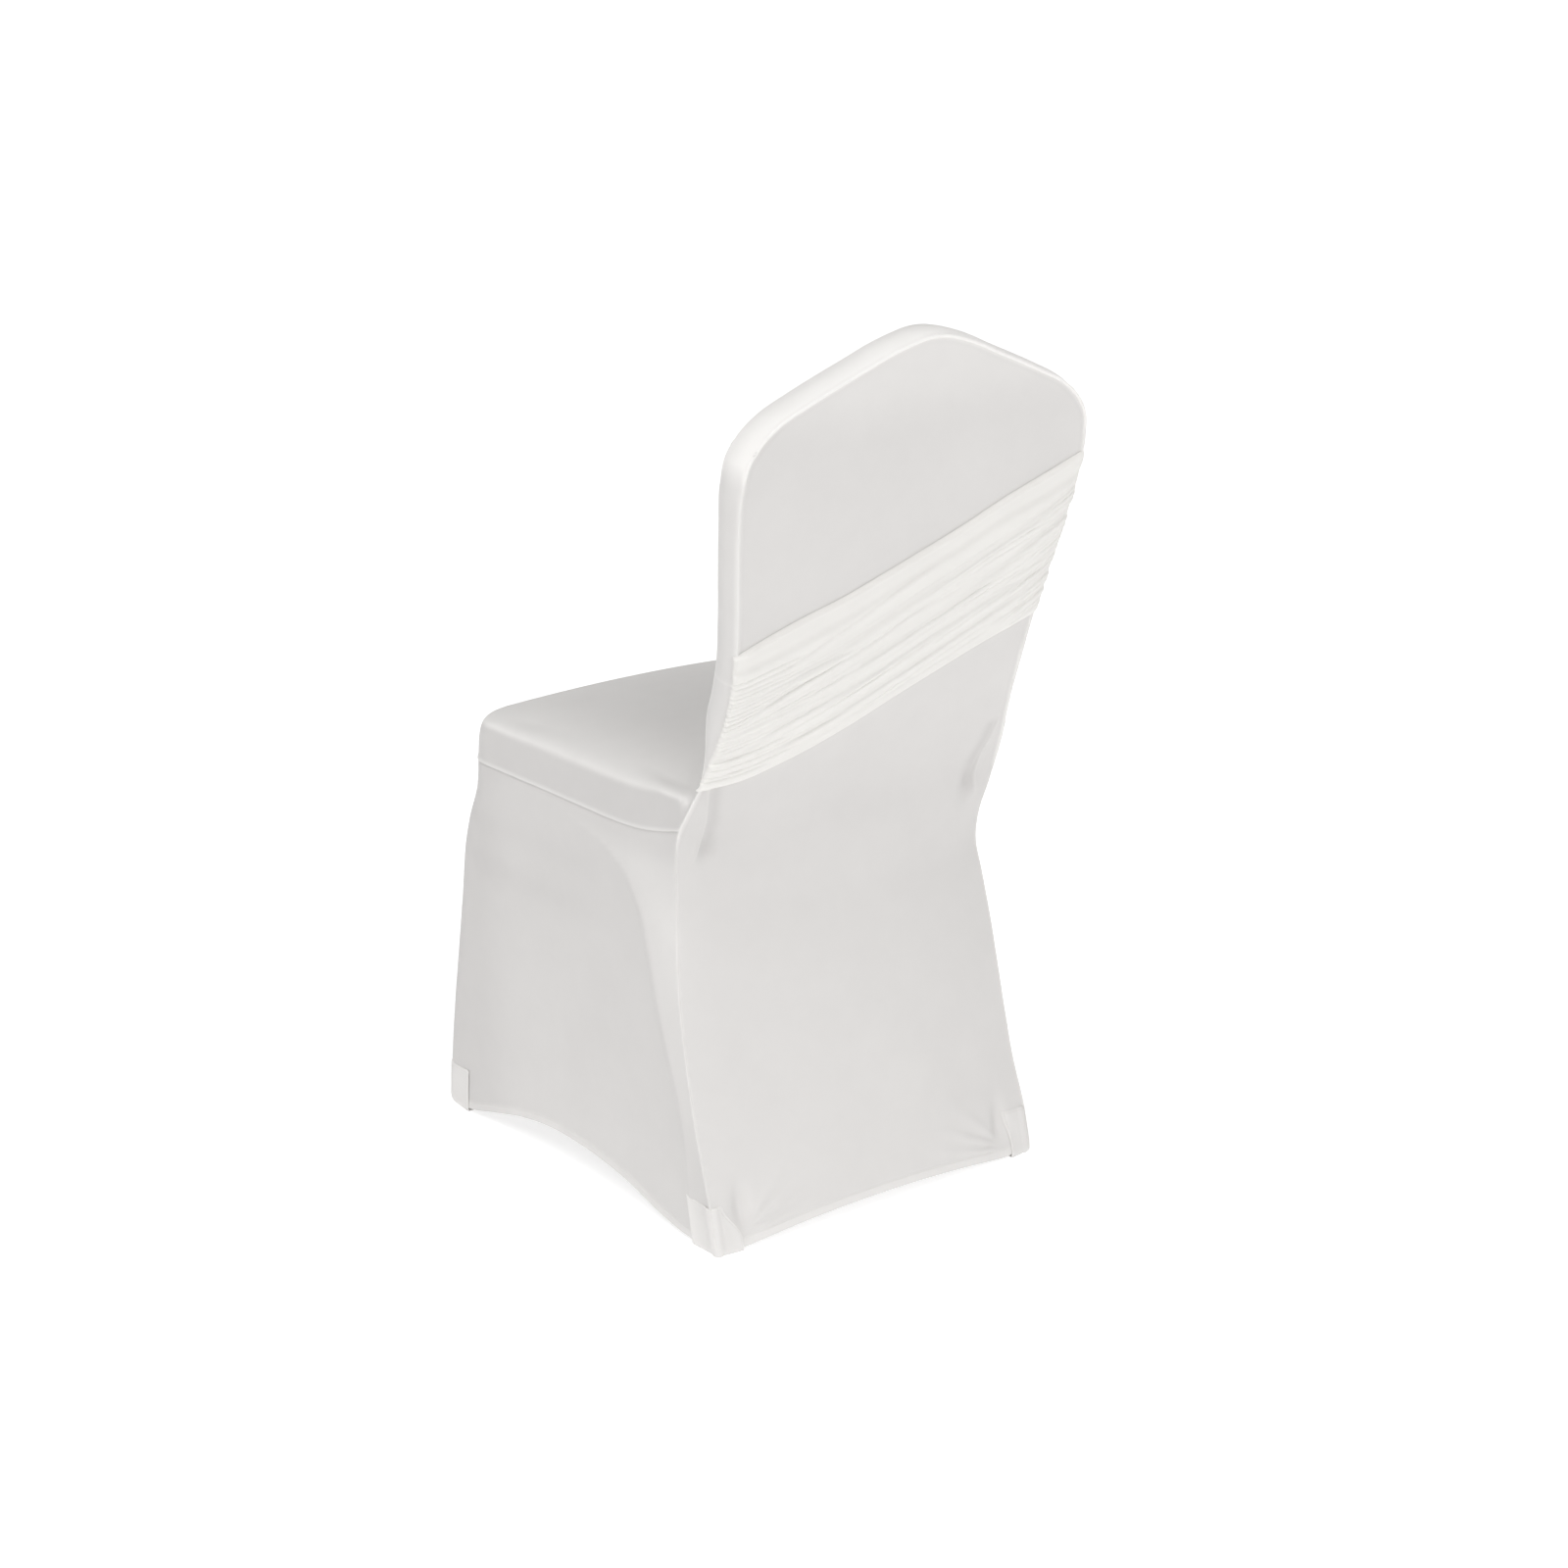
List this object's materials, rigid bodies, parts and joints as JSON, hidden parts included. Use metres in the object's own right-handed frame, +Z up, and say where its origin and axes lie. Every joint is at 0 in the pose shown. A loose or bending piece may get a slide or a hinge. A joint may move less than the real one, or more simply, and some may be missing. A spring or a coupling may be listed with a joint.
{
  "type": "stretch banquet chair cover",
  "caption": "White stretch cover for a crown-back banquet chair, with a ruched diagonal band over the back, arched hems and pockets at the feet.",
  "frame": {"origin": "on the floor, under the middle of the cover's bounding box", "axes": "+Z up, -Y towards the front of the chair, +X towards the left of someone sitting in it"},
  "size_m": [0.4408, 0.5842, 0.9241],
  "materials": {
    "cover_cloth": "matte white stretch knit with a soft sheen",
    "band_cloth": "matte warm white stretch knit, gathered",
    "pocket_cloth": "matte white doubled knit"
  },
  "bodies": {
    "root": {"back_panel": "cover_cloth", "inner_back_panel": "cover_cloth", "back_boxing": "cover_cloth", "seat_panel": "cover_cloth", "skirt": "cover_cloth", "ruched_band": "band_cloth", "foot_pocket_rear_left": "pocket_cloth", "foot_pocket_rear_right": "pocket_cloth", "foot_pocket_front_left": "pocket_cloth", "foot_pocket_front_right": "pocket_cloth"}
  },
  "joints": []
}
